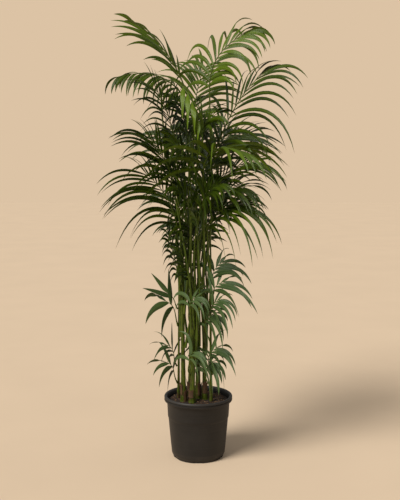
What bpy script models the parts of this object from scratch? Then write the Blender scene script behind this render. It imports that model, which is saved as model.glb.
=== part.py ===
"""A potted kentia palm: five grown palms and two young ones, planted together in one nursery pot.

Metres, +Z up. The origin is the middle of the pot's underside, and -Y is the plant's front.
Each frond is one solid, its stalk, midrib and leaflets grown as one piece, because it is one leaf.
"""

import math
import random

import bmesh
import bpy
import numpy as np
from mathutils import Matrix
from mathutils.bvhtree import BVHTree
from mathutils.kdtree import KDTree

GAP = 0.0003  # between pieces that touch

# Nursery pot
POT_HEIGHT = 0.256
POT_RIM_RADIUS = 0.140
POT_WALL_TOP_RADIUS = 0.1285  # just under the rolled rim
POT_HEEL_RADIUS = 0.110
POT_FOOT_RADIUS = 0.104
POT_WALL = 0.003
POT_FLOOR = 0.004
RIM_DEPTH = 0.021  # how far the rolled rim comes down outside
FOOT_HEIGHT = 0.010
POT_SIDES = 40
DRAIN_RADIUS = 0.006
DRAIN_RING_RADIUS = 0.078
DRAIN_HOLES = 6

# Potting soil
SOIL_TOP = 0.232
PLANTING_DEPTH = 0.030

# Canes
CANE_SIDES = 12
CANE_RINGS = 9
BUD_HEIGHT = 0.030
FOOT_SWELL = 0.75  # how much wider a cane is at the soil
SWELL_FALL = 7.0  # how fast that swelling falls off up the cane

# Leaf stalks and leaflets
STALK_RADIUS = 0.0052
NECK_RADIUS = 0.0034
TIP_RADIUS = 0.0011
YOUNG_STALK_SHARE = 0.62  # a young plant's stalks against a grown one's
LEAFLET_THICKNESS = 0.0016
STALK_CLEARANCE = 0.0020  # kept between two stalks that pass each other
LEAFLET_CLEARANCE = 0.0007  # kept round a leaflet
FOOT_SHARE = 0.02  # of the way to its first bend, where a leaflet is clear of its own midrib
STEP = 0.010  # spacing of the points that a stalk's course is worked out on
REACH = 0.028  # two stalks further apart than this never touch
SETTLE_ROUNDS = 140
STALK_RING_SPACING = 0.09
LEAFLET_CUTS = (0.25, 0.6)  # where a leaflet's plain solid has its two bends

# A leaflet that would meet something turns a little, and after that is a little shorter.
# Each try is the degrees that it turns along the midrib and up, and its share of the full length.
TURNS = (
    (0, 9), (0, -9), (7, 0), (-7, 0), (7, 12), (-7, 12), (8, -14), (-8, -14), (0, 24), (0, -24),
    (14, 16), (-14, 16), (12, -28), (0, 38),
)
TRIES = [(0, 0, 1)] + [(turn, lift, share) for share in (1, 0.88, 0.74, 0.6) for turn, lift in TURNS]

COLOURS = {
    "pot": ((0.035, 0.032, 0.028), 0.55),
    "soil": ((0.045, 0.026, 0.014), 0.95),
    "cane": ((0.10, 0.16, 0.03), 0.55),
    "frond": ((0.05, 0.13, 0.02), 0.45),
    "young_frond": ((0.06, 0.15, 0.05), 0.45),
}

# The plants' canes: foot on the soil (x, y), height of the top, lean of the top (x, y), radius
PLANTS = {
    "front_left": dict(foot=(-0.060, -0.030), top=0.86, lean=(-0.006, 0.010), radius=0.0092),
    "front": dict(foot=(-0.026, -0.050), top=0.62, lean=(0.012, 0.010), radius=0.0105),
    "middle": dict(foot=(-0.002, 0.010), top=0.74, lean=(0.004, 0.000), radius=0.0095),
    "right": dict(foot=(0.026, -0.008), top=0.66, lean=(-0.004, 0.004), radius=0.0085),
    "back": dict(foot=(-0.034, 0.056), top=0.68, lean=(0.006, -0.012), radius=0.0095),
    "young_left": dict(foot=(-0.082, 0.020), top=0.72, lean=(0.004, -0.004), radius=0.0050),
    "young_right": dict(foot=(0.052, -0.034), top=0.80, lean=(-0.004, 0.004), radius=0.0055),
}


def grown(plant, seat, midrib, leaflet, **more):
    """A frond of a grown plant. seat is where the stalk leaves the cane (height, degrees round it)."""
    frond = dict(
        plant=plant, seat=seat, midrib=midrib, leaflet=leaflet,
        pairs=12, width=0.015, spread=(60, 24), lift=12, droop=1.5, roll=(0, 0), rows=(1, 1), thick=1.0,
    )
    frond.update(more)
    return frond


def young(plant, seat, midrib, leaflet, **more):
    """A frond of a young plant: few leaflets, broad and close together."""
    frond = dict(
        plant=plant, seat=seat, midrib=midrib, leaflet=leaflet,
        pairs=4, width=0.019, spread=(60, 24), lift=10, droop=1.6, roll=(0, 0), rows=(1, 1),
        thick=YOUNG_STALK_SHARE,
    )
    frond.update(more)
    return frond


# midrib: three places on it, at the neck, halfway and at the tip; leaflet: length of the longest
# spread: degrees between midrib and leaflet, at the neck and at the tip; lift: degrees above the blade
FRONDS = {
    # crown, left side
    "top_left": grown("front_left", (0.83, 110),
                      ((-0.065, 0.0, 1.53), (-0.14, -0.01, 1.65), (-0.245, -0.03, 1.745)), 0.23,
                      pairs=11, spread=(34, 8), lift=4, roll=(40, 40), droop=1.1, width=0.02,
                      rows=(0.7, 1)),
    "upper_left": grown("back", (0.64, 150),
                        ((-0.055, 0.05, 1.465), (-0.17, 0.04, 1.55), (-0.325, 0.01, 1.54)), 0.15,
                        pairs=14, spread=(66, 25), droop=3.0, lift=0, roll=(30, 30), width=0.016),
    "left_high": grown("front_left", (0.78, 160),
                       ((-0.09, -0.005, 1.27), (-0.12, -0.035, 1.395), (-0.165, -0.07, 1.49)), 0.33,
                       pairs=14, spread=(66, 32), lift=6, roll=(60, 60), droop=0.9, width=0.012,
                       rows=(0.6, 1)),
    "left_mid": grown("front_left", (0.72, 250),
                      ((-0.09, -0.05, 1.105), (-0.13, -0.08, 1.215), (-0.19, -0.11, 1.305)), 0.35,
                      pairs=13, spread=(52, 20), lift=6, roll=(60, 60), droop=1.1, width=0.015,
                      rows=(0.5, 1)),
    "left_low": grown("front_left", (0.67, 215),
                      ((-0.085, -0.03, 0.955), (-0.125, -0.055, 1.07), (-0.205, -0.085, 1.165)), 0.42,
                      pairs=13, spread=(62, 26), lift=6, roll=(60, 60), droop=1.25, width=0.014,
                      rows=(0.5, 1)),
    "left_lowest": grown("front_left", (0.5, 130),
                         ((-0.08, 0.0, 0.745), (-0.1, -0.01, 0.84), (-0.125, -0.03, 0.94)), 0.15,
                         pairs=9, spread=(62, 30), roll=(60, 60), droop=1.5, width=0.013),
    # crown, right side
    "top_right": grown("middle", (0.7, 0),
                       ((0.045, 0.01, 1.5), (0.085, 0.01, 1.63), (0.21, 0.0, 1.72)), 0.25,
                       pairs=14, spread=(56, 16), lift=6, roll=(-60, -40), droop=2.7, width=0.02,
                       rows=(0.85, 1)),
    "right_high": grown("right", (0.62, 320),
                        ((0.07, -0.03, 1.255), (0.15, -0.07, 1.43), (0.25, -0.12, 1.545)), 0.4,
                        pairs=12, spread=(56, 18), lift=6, roll=(-60, -50), droop=1.8, width=0.018,
                        rows=(1, 0.6)),
    "right_mid": grown("front", (0.58, 0),
                       ((0.02, -0.09, 1.16), (0.055, -0.15, 1.25), (0.155, -0.23, 1.25)), 0.33,
                       pairs=9, spread=(76, 16), droop=1.6, width=0.02),
    "right_back": grown("middle", (0.64, 45),
                        ((0.05, 0.04, 1.225), (0.1, 0.04, 1.285), (0.215, 0.03, 1.325)), 0.26,
                        pairs=9, spread=(50, 20), roll=(-50, -50), droop=1.0, width=0.012, rows=(1, 0.7)),
    "right_low": grown("right", (0.56, 350),
                       ((0.065, 0.0, 1.065), (0.12, -0.03, 1.17), (0.23, -0.07, 1.21)), 0.31,
                       pairs=12, spread=(50, 18), roll=(-50, -50), droop=1.3, width=0.014, rows=(1, 0.6)),
    "right_lower": grown("right", (0.52, 300),
                         ((0.03, -0.03, 0.995), (0.095, -0.06, 1.085), (0.18, -0.1, 1.11)), 0.24,
                         pairs=11, spread=(56, 20), roll=(-45, -45), droop=1.8, width=0.016),
    "right_lowest": grown("right", (0.48, 265),
                          ((0.025, -0.02, 0.92), (0.085, -0.06, 1.015), (0.175, -0.1, 1.04)), 0.4,
                          pairs=12, spread=(50, 14), roll=(-45, -45), droop=2.1, width=0.016,
                          rows=(1, 0.6)),
    # crown, front
    "front_high": grown("front", (0.54, 265),
                        ((-0.07, -0.08, 1.505), (-0.025, -0.14, 1.44), (0.005, -0.18, 1.35)), 0.15,
                        pairs=5, spread=(40, 20), roll=(0, 0), droop=3.4, width=0.024),
    "front_mid": grown("front", (0.46, 250),
                       ((-0.03, -0.08, 1.13), (-0.045, -0.12, 1.215), (-0.085, -0.15, 1.27)), 0.2,
                       pairs=11, spread=(58, 24), roll=(45, 45), droop=2.0, width=0.02),
    "front_low": grown("front_left", (0.6, 300),
                       ((-0.03, -0.08, 0.975), (-0.045, -0.12, 1.06), (-0.085, -0.15, 1.11)), 0.19,
                       pairs=11, spread=(58, 24), roll=(45, 45), droop=2.2, width=0.02),
    "front_right": grown("front", (0.42, 315),
                         ((0.005, -0.08, 1.005), (0.04, -0.12, 1.09), (0.085, -0.15, 1.125)), 0.19,
                         pairs=11, spread=(58, 24), roll=(-45, -45), droop=2.1, width=0.02),
    "front_centre": grown("front", (0.5, 310),
                          ((0.0, -0.07, 1.255), (0.02, -0.1, 1.34), (0.06, -0.12, 1.38)), 0.18,
                          pairs=11, spread=(56, 24), roll=(-45, -45), droop=2.0, width=0.02),
    "inner_left": grown("middle", (0.44, 200),
                        ((-0.05, 0.0, 1.035), (-0.075, -0.01, 1.145), (-0.125, -0.03, 1.195)), 0.19,
                        pairs=11, spread=(58, 24), roll=(45, 45), droop=1.8, width=0.019),
    "inner_high": grown("middle", (0.66, 180),
                        ((-0.04, 0.02, 1.295), (-0.055, 0.02, 1.39), (-0.09, 0.01, 1.445)), 0.17,
                        pairs=11, spread=(56, 24), roll=(45, 45), droop=1.8, width=0.018),
    "inner_low": grown("middle", (0.4, 250),
                       ((-0.02, 0.0, 0.865), (-0.04, 0.0, 0.945), (-0.08, -0.005, 0.985)), 0.16,
                       pairs=11, spread=(58, 24), roll=(45, 45), droop=2.2, width=0.019),
    "inner_right": grown("middle", (0.46, 290),
                         ((0.015, -0.02, 1.075), (0.045, -0.025, 1.17), (0.095, -0.035, 1.215)), 0.19,
                         pairs=11, spread=(58, 24), roll=(-45, -45), droop=1.8, width=0.019),
    "inner_right_low": grown("right", (0.42, 60),
                             ((0.025, 0.02, 0.91), (0.045, 0.02, 0.99), (0.085, 0.01, 1.025)), 0.17,
                             pairs=11, spread=(58, 24), roll=(-45, -45), droop=2.1, width=0.019),
    "inner_lowest": grown("front_left", (0.46, 330),
                          ((-0.035, -0.05, 0.74), (-0.055, -0.055, 0.82), (-0.085, -0.06, 0.885)), 0.13,
                          pairs=9, spread=(56, 24), roll=(45, 45), droop=2.0, width=0.019),
    # crown, back
    "back_top": grown("back", (0.66, 60),
                      ((-0.02, 0.1, 1.36), (-0.005, 0.14, 1.495), (0.025, 0.2, 1.6)), 0.22,
                      pairs=13, spread=(56, 24), roll=(-30, -30), droop=1.6, width=0.016),
    "back_right": grown("middle", (0.6, 100),
                        ((0.05, 0.08, 1.165), (0.085, 0.13, 1.28), (0.16, 0.22, 1.34)), 0.24,
                        pairs=12, spread=(58, 24), roll=(-20, -20), droop=1.6, width=0.016),
    "back_left": grown("back", (0.58, 120),
                       ((-0.06, 0.1, 1.15), (-0.08, 0.15, 1.28), (-0.12, 0.24, 1.35)), 0.24,
                       pairs=12, spread=(58, 24), roll=(20, 20), droop=1.6, width=0.018),
    "back_middle": grown("back", (0.62, 90),
                         ((-0.02, 0.11, 1.185), (-0.01, 0.16, 1.305), (0.0, 0.26, 1.38)), 0.22,
                         pairs=12, spread=(58, 24), droop=1.7, width=0.02),
    "back_inner": grown("back", (0.5, 20),
                        ((-0.01, 0.06, 1.07), (-0.015, 0.07, 1.165), (-0.05, 0.08, 1.225)), 0.18,
                        pairs=11, spread=(58, 24), roll=(40, 40), droop=1.8, width=0.02),
    "back_low": grown("back", (0.54, 70),
                      ((0.025, 0.11, 0.995), (0.03, 0.17, 1.1), (0.06, 0.26, 1.13)), 0.22,
                      pairs=11, spread=(58, 24), droop=1.8, width=0.018),
    "back_low_right": grown("right", (0.5, 40),
                            ((0.05, 0.06, 0.94), (0.1, 0.12, 1.025), (0.17, 0.2, 1.035)), 0.23,
                            pairs=10, spread=(58, 24), droop=1.9, width=0.016),
    "back_low_left": grown("back", (0.46, 165),
                           ((-0.06, 0.07, 0.945), (-0.09, 0.12, 1.04), (-0.14, 0.2, 1.065)), 0.2,
                           pairs=10, spread=(58, 24), droop=1.8, width=0.018),
    "back_lowest": grown("back", (0.42, 100),
                         ((-0.02, 0.11, 0.825), (-0.025, 0.15, 0.915), (-0.055, 0.19, 0.955)), 0.18,
                         pairs=10, spread=(58, 24), roll=(30, 30), droop=2.0, width=0.02),
    # young plants, left
    "young_left_1": young("young_left", (0.61, 190),
                          ((-0.1, 0.005, 0.655), (-0.115, 0.005, 0.675), (-0.135, 0.0, 0.685)), 0.16,
                          pairs=1, spread=(24, 20), lift=0, roll=(70, 70), width=0.026, droop=0.25),
    "young_left_2": young("young_left", (0.54, 230),
                          ((-0.1, -0.01, 0.62), (-0.115, -0.02, 0.64), (-0.14, -0.025, 0.655)), 0.17,
                          pairs=2, spread=(80, 14), roll=(60, 60), width=0.034, droop=2.1),
    "young_left_3": young("young_left", (0.37, 180),
                          ((-0.1, 0.01, 0.415), (-0.11, 0.005, 0.45), (-0.135, -0.005, 0.465)), 0.13,
                          pairs=4, spread=(60, 20), roll=(50, 50), droop=1.7, width=0.013),
    "young_left_4": young("young_left", (0.3, 230),
                          ((-0.1, -0.01, 0.355), (-0.11, -0.02, 0.385), (-0.135, -0.03, 0.4)), 0.14,
                          pairs=3, spread=(76, 16), roll=(55, 55), droop=1.8, width=0.022),
    "young_left_5": young("young_left", (0.51, 20),
                          ((-0.06, 0.02, 0.645), (-0.045, 0.02, 0.705), (-0.035, 0.01, 0.745)), 0.14,
                          pairs=3, spread=(34, 16), roll=(-60, -60), lift=6, droop=1.2, width=0.03),
    # young plants, right
    "young_right_1": young("young_right", (0.66, 20),
                           ((0.06, -0.02, 0.73), (0.065, -0.02, 0.775), (0.1, -0.02, 0.81)), 0.19,
                           pairs=5, spread=(64, 16), roll=(-60, -60), width=0.021, droop=2.0,
                           rows=(1, 0.75)),
    "young_right_2": young("young_right", (0.62, 340),
                           ((0.06, -0.045, 0.685), (0.07, -0.05, 0.715), (0.105, -0.055, 0.735)), 0.24,
                           pairs=4, spread=(76, 16), roll=(-55, -55), width=0.021, droop=1.7,
                           rows=(1, 0.6)),
    "young_right_3": young("young_right", (0.54, 300),
                           ((0.045, -0.06, 0.61), (0.06, -0.07, 0.645), (0.085, -0.08, 0.665)), 0.2,
                           pairs=5, spread=(74, 16), roll=(-55, -55), droop=2.3, width=0.018,
                           rows=(1, 0.7)),
    "young_right_4": young("young_right", (0.48, 270),
                           ((0.025, -0.06, 0.555), (0.035, -0.07, 0.59), (0.06, -0.08, 0.605)), 0.19,
                           pairs=5, spread=(80, 20), roll=(-50, -50), width=0.023, droop=3.2,
                           rows=(1, 0.8)),
    "young_right_5": young("young_right", (0.35, 320),
                           ((0.04, -0.06, 0.41), (0.05, -0.07, 0.45), (0.08, -0.08, 0.47)), 0.2,
                           pairs=5, spread=(74, 16), roll=(-55, -55), droop=2.3, width=0.018,
                           rows=(1, 0.7)),
    "young_right_6": young("young_right", (0.29, 270),
                           ((0.025, -0.06, 0.36), (0.035, -0.07, 0.395), (0.06, -0.08, 0.41)), 0.17,
                           pairs=5, spread=(80, 20), roll=(-50, -50), width=0.023, droop=3.2,
                           rows=(1, 0.8)),
    "young_front_1": young("front", (0.55, 200),
                           ((-0.035, -0.085, 0.635), (-0.025, -0.09, 0.665), (0.0, -0.095, 0.68)), 0.14,
                           pairs=4, spread=(76, 20), roll=(-50, -50), droop=2.8, width=0.018),
    "young_front_2": young("front", (0.35, 200),
                           ((-0.035, -0.085, 0.415), (-0.025, -0.09, 0.45), (0.0, -0.095, 0.46)), 0.14,
                           pairs=4, spread=(76, 20), roll=(-50, -50), droop=2.8, width=0.018),
}


def unit(vector):
    return vector / np.linalg.norm(vector)


def bearing(degrees):
    """The level direction of a compass heading."""
    turn = math.radians(degrees)
    return np.array([math.cos(turn), math.sin(turn), 0.0])


def cane_point(plant, height):
    """The middle of a plant's cane at a height above the floor."""
    cane = PLANTS[plant]
    share = (height - SOIL_TOP) / (cane["top"] - SOIL_TOP)
    foot = np.array([*cane["foot"], height])
    return foot + share * np.array([*cane["lean"], 0.0])


def cane_radius(plant, height):
    """A cane is swollen at the soil and slim at the top."""
    share = max(0.0, (height - SOIL_TOP) / (PLANTS[plant]["top"] - SOIL_TOP))
    return PLANTS[plant]["radius"] * (0.85 + FOOT_SWELL * math.exp(-SWELL_FALL * share))


def blade_course(frond):
    """Points of the midrib from neck to tip, on one smooth arch through its middle."""
    neck, middle, tip = (np.array(place) for place in frond["midrib"])
    handle = 2 * middle - (neck + tip) / 2
    count = max(8, round((np.linalg.norm(middle - neck) + np.linalg.norm(tip - middle)) / STEP))
    shares = [i / count for i in range(count + 1)]
    return [(1 - t) ** 2 * neck + 2 * t * (1 - t) * handle + t * t * tip for t in shares]


def stalk_course(frond):
    """Points of the stalk, from its seat on the cane up to the neck, as one smooth curve."""
    height, side = frond["seat"]
    outward = bearing(side)
    blade = blade_course(frond)
    neck = blade[0]
    into_blade = unit(blade[1] - blade[0])
    leave = math.radians(78 if frond["thick"] == 1.0 else 55)
    start = outward * math.cos(leave) + np.array([0, 0, math.sin(leave)])
    thickness = STALK_RADIUS * frond["thick"]
    reach = cane_radius(frond["plant"], height) + thickness * math.sin(leave) + GAP + 0.0002
    seat = cane_point(frond["plant"], height) + outward * reach
    pull = 0.42 * np.linalg.norm(neck - seat)
    handles = [seat, seat + start * pull, neck - into_blade * pull, neck]
    count = max(6, round(np.linalg.norm(neck - seat) / STEP))
    points = []
    for i in range(count):
        t = i / count
        weights = ((1 - t) ** 3, 3 * t * (1 - t) ** 2, 3 * t * t * (1 - t), t**3)
        points.append(sum(w * h for w, h in zip(weights, handles)))
    return points


def stalk_radius(frond, share):
    """Radius at a share of the way from seat (0) to neck (1) and on to the tip (2)."""
    if share <= 1:
        return frond["thick"] * (STALK_RADIUS + (NECK_RADIUS - STALK_RADIUS) * share)
    return frond["thick"] * (NECK_RADIUS + (TIP_RADIUS - NECK_RADIUS) * (share - 1))


def settle(courses, radii):
    """Moves stalks apart where two pass closer than their thickness; seats stay where they are."""
    places = [np.array(course) for course in courses]
    moved = [np.zeros_like(place) for place in places]
    posts = [
        (cane_point(name, SOIL_TOP + i * STEP), cane_radius(name, SOIL_TOP + i * STEP), name)
        for name, cane in PLANTS.items()
        for i in range(int((cane["top"] - SOIL_TOP) / STEP))
    ]
    owners = [(k, i) for k, place in enumerate(places) for i in range(len(place))]
    for _ in range(SETTLE_ROUNDS):
        tree = KDTree(len(owners) + len(posts))
        for n, (k, i) in enumerate(owners):
            tree.insert(places[k][i] + moved[k][i], n)
        for n, (middle, _, _) in enumerate(posts):
            tree.insert(middle, len(owners) + n)
        tree.balance()
        pushes = [np.zeros_like(place) for place in places]
        for k, i in owners:
            if i < 3:
                continue
            here = places[k][i] + moved[k][i]
            for there, n, apart in tree.find_range(here, REACH):
                if n < len(owners):
                    other, j = owners[n]
                    if other == k:
                        continue
                    wanted = radii[k][i] + radii[other][j] + STALK_CLEARANCE
                    share = 0.5
                else:
                    middle, thick, plant = posts[n - len(owners)]
                    wanted = radii[k][i] + thick + STALK_CLEARANCE
                    share = 1.0
                    if i < 6 and FROND_LIST[k]["plant"] == plant:
                        wanted = 0.0
                # Points are a step apart, so the true gap is a little less than theirs.
                if 1e-6 < apart < wanted:
                    pushes[k][i] += (here - np.array(there)) / apart * (wanted - apart) * share
        for k, push in enumerate(pushes):
            shift = moved[k] + push
            smooth = shift.copy()
            smooth[1:-1] = 0.25 * shift[:-2] + 0.5 * shift[1:-1] + 0.25 * shift[2:]
            smooth[:3] = 0
            moved[k] = smooth
    return [place + shift for place, shift in zip(places, moved)]


def along(points, lengths, at):
    """The point at a distance along a course."""
    return np.array([np.interp(at, lengths, points[:, axis]) for axis in range(3)])


def frames_along(frond, points, neck_index):
    """For a course: distances, forward directions, and the blade's side and upper directions."""
    steps = np.linalg.norm(np.diff(points, axis=0), axis=1)
    lengths = np.concatenate([[0], np.cumsum(steps)])
    ahead = np.gradient(points, axis=0)
    ahead /= np.linalg.norm(ahead, axis=1)[:, None]
    blade_length = lengths[-1] - lengths[neck_index]
    level = np.array(frond["midrib"][2]) - frond["midrib"][0]
    right = unit(np.cross(level, [0, 0, 1]))
    sides, tops = [], []
    for i, tangent in enumerate(ahead):
        share = min(1, max(0, (lengths[i] - lengths[neck_index]) / blade_length))
        roll = math.radians(frond["roll"][0] + (frond["roll"][1] - frond["roll"][0]) * share)
        side = unit(right - tangent * np.dot(right, tangent))
        top = np.cross(side, tangent)
        sides.append(side * math.cos(roll) + top * math.sin(roll))
        tops.append(top * math.cos(roll) - side * math.sin(roll))
    return lengths, ahead, np.array(sides), np.array(tops)


def leaflet_course(root, ahead, side, top, turn, lift, length, droop, steps=12):
    """Points of one leaflet's middle line, which bends down under its own weight."""
    way = ahead * math.cos(turn) + math.sin(turn) * (side * math.cos(lift) + top * math.sin(lift))
    points = [root]
    for i in range(steps):
        way = unit(way + np.array([0, 0, -1.0]) * droop * (0.3 + 1.4 * i / steps) / steps)
        points.append(points[-1] + way * length / steps)
    return np.array(points)


def leaflet_width(share):
    """Width at a share of the length, against the greatest width: slim foot, long pointed tip."""
    if share < 0.3:
        return 0.45 + 0.55 * math.sin(math.pi / 2 * share / 0.3)
    return (1 - ((share - 0.3) / 0.7) ** 1.7) ** 0.9


def leaflet_sections(course, ahead, top, width, thickness):
    """Cross-sections of the plain solid: two edges and a ridge at each bend, then the tip."""
    last = len(course) - 1
    hand = np.sign(np.dot(np.cross(course[1] - course[0], ahead), top))
    sections = []
    for cut in LEAFLET_CUTS:
        i = round(cut * last)
        way = unit(course[i + 1] - course[i - 1])
        across = unit(ahead - way * np.dot(ahead, way))
        ridge = hand * np.cross(way, across)
        half = across * width * leaflet_width(cut) / 2
        sections.append([course[i] - half, course[i] + half, course[i] + ridge * thickness])
    return sections, course[last]


def band(points, low, high):
    """The three sides between two cross-sections, each folded outwards into two triangles."""
    centre = np.mean(points[low:low + 3] + points[high:high + 3], axis=0)
    faces = []
    for k in range(3):
        after = (k + 1) % 3
        side = [low + k, low + after, high + after, high + k]
        a, b, c, d = (points[corner] for corner in side)
        outward = np.cross(c - a, d - b)
        outward = outward * np.sign(np.dot(a + b + c + d - 4 * centre, outward))
        if np.dot(a + c - b - d, outward) < 0:
            side = side[1:] + side[:1]
        faces += [side[:3], [side[0], side[2], side[3]]]
    return faces


def leaflet_faces(points):
    return [(0, 2, 1)] + band(points, 0, 3) + [(3, 4, 6), (4, 5, 6), (5, 3, 6)]


def foot_faces(points):
    return [(0, 2, 1), (3, 4, 5)] + band(points, 0, 3)


def solid_tree(points, faces):
    return BVHTree.FromPolygons([tuple(p) for p in points], faces, epsilon=0.0)


def tube_rings(points, lengths, stations, radii, sides, tops):
    """Rings of three corners, upper, right and left, at the stations along a course."""
    rings = []
    for station, radius in zip(stations, radii):
        middle = along(points, lengths, station)
        side = unit(along(sides, lengths, station))
        top = unit(along(tops, lengths, station))
        low = middle - top * radius * 0.5
        rings.append([middle + top * radius, low + side * radius * 0.87, low - side * radius * 0.87])
    return rings


def tube_faces(count):
    """Faces of a three-cornered tube of that many rings, with its two ends closed."""
    faces = [(2, 1, 0), tuple(3 * (count - 1) + k for k in range(3))]
    for ring in range(count - 1):
        for k in range(3):
            low, after = 3 * ring, (k + 1) % 3
            faces.append((low + k, low + after, low + 3 + after, low + 3 + k))
    return faces


def seat_ring(ring, plant):
    """Slides a stalk's first ring level towards its cane until only the gap is left between them."""
    samples = [
        a + (b - a) * t / 6 for a, b in zip(ring, ring[1:] + ring[:1]) for t in range(6)
    ]
    gaps = []
    for point in samples:
        middle = cane_point(plant, point[2])
        away = point[:2] - middle[:2]
        gaps.append((np.linalg.norm(away) - cane_radius(plant, point[2]), *away))
    gap, x, y = min(gaps)
    shift = unit(np.array([x, y, 0])) * (GAP - gap)
    return [corner + shift for corner in ring]


class Leaf:
    """A frond worked out: its course, its tube's rings and the leaflets it will carry."""

    def __init__(self, name, frond, points, neck_index):
        self.name, self.frond, self.points = name, frond, points
        self.lengths, self.ahead, self.sides, self.tops = frames_along(frond, points, neck_index)
        self.neck = self.lengths[neck_index]
        blade = self.lengths[-1] - self.neck
        spots = 2 * frond["pairs"]
        stalk_rings = max(3, round(self.neck / STALK_RING_SPACING))
        stations = [self.neck * i / stalk_rings for i in range(stalk_rings)]
        stations += [self.neck + blade * i / spots for i in range(spots + 1)]
        shares = [s / self.neck if s <= self.neck else 1 + (s - self.neck) / blade for s in stations]
        radii = [stalk_radius(frond, share) for share in shares]
        self.first_spot, self.spots, self.stations = stalk_rings, spots, stations
        self.rings = tube_rings(points, self.lengths, stations, radii, self.sides, self.tops)
        self.rings[0] = seat_ring(self.rings[0], frond["plant"])
        flat = [corner for ring in self.rings for corner in ring]
        self.tube = solid_tree(flat, tube_faces(len(self.rings)))
        self.leaflets = {}

    def frame_at(self, station):
        return [unit(along(rows, self.lengths, station)) for rows in (self.ahead, self.sides, self.tops)]


def boxes_meet(low_a, high_a, lows, highs):
    return np.flatnonzero(np.all(lows < high_a, axis=1) & np.all(highs > low_a, axis=1))


def grow_leaflets(leaves, posts):
    """Gives each frond its leaflets, one after another, clear of all that is there already."""
    trees = list(posts) + [leaf.tube for leaf in leaves]
    lows = [[-9.0] * 3] * len(trees)
    highs = [[9.0] * 3] * len(trees)
    missing = 0
    for leaf in leaves:
        frond = leaf.frond
        draw = random.Random(leaf.name)
        for spot in range(leaf.spots):
            share = (spot + 0.5) / leaf.spots
            station = sum(leaf.stations[leaf.first_spot + spot:][:2]) / 2
            ahead, side, top = leaf.frame_at(station)
            hand = 1 if spot % 2 else -1
            ring = leaf.rings[leaf.first_spot + spot]
            next_ring = leaf.rings[leaf.first_spot + spot + 1]
            corner = 1 if hand == 1 else 2
            root = (ring[corner] + next_ring[corner] + ring[0]) / 3
            turn = np.interp(share, (0, 1), frond["spread"]) + draw.uniform(-4, 4)
            lift = frond["lift"] + draw.uniform(-7, 7)
            size = 0.62 + 0.38 * math.sin(math.pi * min(1.0, 0.12 + 1.05 * share))
            length = frond["leaflet"] * size * frond["rows"][hand == -1] * draw.uniform(0.9, 1.08)
            width = frond["width"] * (0.72 + 0.28 * size) * draw.uniform(0.9, 1.1)
            droop = frond["droop"] * draw.uniform(0.75, 1.25)
            for more_turn, more_lift, shorter in TRIES:
                course = leaflet_course(
                    root, ahead, hand * side, top, math.radians(turn + more_turn),
                    math.radians(lift + more_lift), length * shorter, droop * shorter,
                )
                extra = 2 * LEAFLET_CLEARANCE
                sections, tip = leaflet_sections(
                    course, ahead, top, width + extra, LEAFLET_THICKNESS + extra
                )
                flat = [point for section in sections for point in section] + [tip]
                tree = solid_tree(flat, leaflet_faces(flat))
                neck = [ring[corner], next_ring[corner], ring[0]]
                neck = [a + (b - a) * FOOT_SHARE for a, b in zip(neck, flat)]
                foot = solid_tree(neck + flat[:3], foot_faces(neck + flat[:3]))
                low, high = np.min(flat + neck, axis=0), np.max(flat + neck, axis=0)
                near = boxes_meet(low, high, np.array(lows), np.array(highs))
                if any(tree.overlap(trees[n]) or foot.overlap(trees[n]) for n in near):
                    continue
                leaf.leaflets[spot] = (course, ahead, top, width)
                trees += [tree, foot]
                lows += [low, low]
                highs += [high, high]
                break
            else:
                missing += 1
    print(f"{sum(len(leaf.leaflets) for leaf in leaves)} leaflets, {missing} left off for want of room")


def material(kind):
    colour, roughness = COLOURS[kind]
    made = bpy.data.materials.new(kind)
    made.use_nodes = True
    shader = made.node_tree.nodes["Principled BSDF"]
    shader.inputs["Base Color"].default_value = (*colour, 1)
    shader.inputs["Roughness"].default_value = roughness
    shader.inputs["Metallic"].default_value = 0.0
    return made


def new_object(name, shape, kind):
    """Makes a mesh object from a bmesh whose faces are turned outwards."""
    bmesh.ops.recalc_face_normals(shape, faces=shape.faces)
    mesh = bpy.data.meshes.new(name)
    shape.to_mesh(mesh)
    shape.free()
    made = bpy.data.objects.new(name, mesh)
    bpy.context.scene.collection.objects.link(made)
    made.data.materials.append(material(kind))
    return made


def turned(outline, sides):
    """A solid of revolution: the outline (radius, height) runs from axis to axis."""
    shape = bmesh.new()
    corners = [shape.verts.new((radius, 0, height)) for radius, height in outline]
    edges = [shape.edges.new(pair) for pair in zip(corners, corners[1:])]
    bmesh.ops.spin(shape, geom=corners + edges, cent=(0, 0, 0), axis=(0, 0, 1), angle=math.tau,
                   steps=sides, use_merge=True)
    bmesh.ops.remove_doubles(shape, verts=shape.verts, dist=1e-5)
    return shape


def cutter(name, shape):
    made = new_object(name, shape, "pot")
    made.hide_render = True
    made.display_type = "WIRE"
    return made


def cut(target, tool):
    hole = target.modifiers.new(tool.name, "BOOLEAN")
    hole.operation = "DIFFERENCE"
    hole.object = tool


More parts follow.
